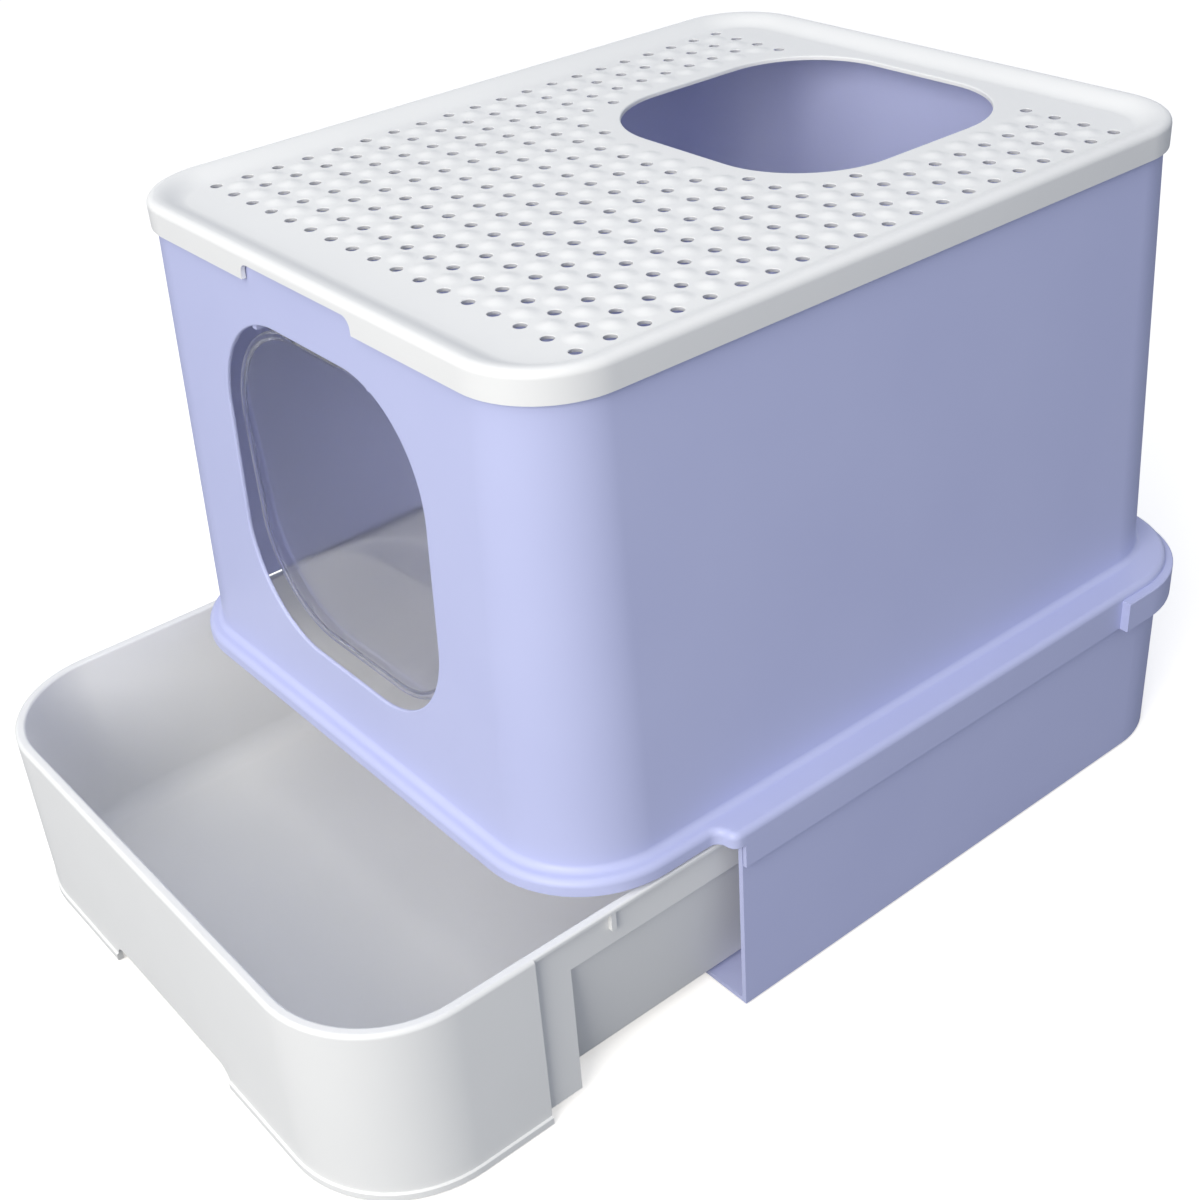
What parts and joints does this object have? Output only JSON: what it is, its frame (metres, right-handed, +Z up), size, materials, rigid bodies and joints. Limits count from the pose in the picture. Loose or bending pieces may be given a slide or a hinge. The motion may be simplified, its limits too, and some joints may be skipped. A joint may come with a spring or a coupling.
{
  "type": "hooded cat litter box with drawer",
  "caption": "Hooded cat litter box with a flap doorway, a perforated lift-off lid with a top entry, and a pull-out litter drawer that runs in a base tray.",
  "frame": {"origin": "middle of the footprint with the drawer part-way out, on the surface that the feet stand on", "axes": "+Z up, front doorway and drawer pull towards -Y, +X to the right seen from the front"},
  "size_m": [0.433, 0.6338, 0.3948],
  "materials": {
    "lavender_plastic": "satin moulded polypropylene",
    "white_plastic": "satin moulded polypropylene",
    "clear_plastic": "clear moulded polystyrene",
    "rod_plastic": "smooth extruded nylon",
    "foot_rubber": "soft moulded elastomer"
  },
  "bodies": {
    "box": {"hood": "lavender_plastic", "base_tray": "lavender_plastic", "base_feet": "foot_rubber", "flap_hinge_rod": "rod_plastic"},
    "lid": {"lid": "white_plastic"},
    "drawer": {"drawer": "white_plastic"},
    "flap": {"flap_door": "clear_plastic"}
  },
  "joints": [
    {"name": "drawer_slide", "type": "slide", "parent": "box", "child": "drawer", "axis": [0, -1, 0], "range_m": [-0.127, 0.2]},
    {"name": "flap_hinge", "type": "hinge", "parent": "box", "child": "flap", "pos_m": [0, -0.16029, 0.354], "axis": [1, 0, 0], "range_deg": [-60, 75]},
    {"name": "lid_lift", "type": "slide", "parent": "box", "child": "lid", "axis": [0, 0, 1], "range_m": [0, 0.12]}
  ]
}
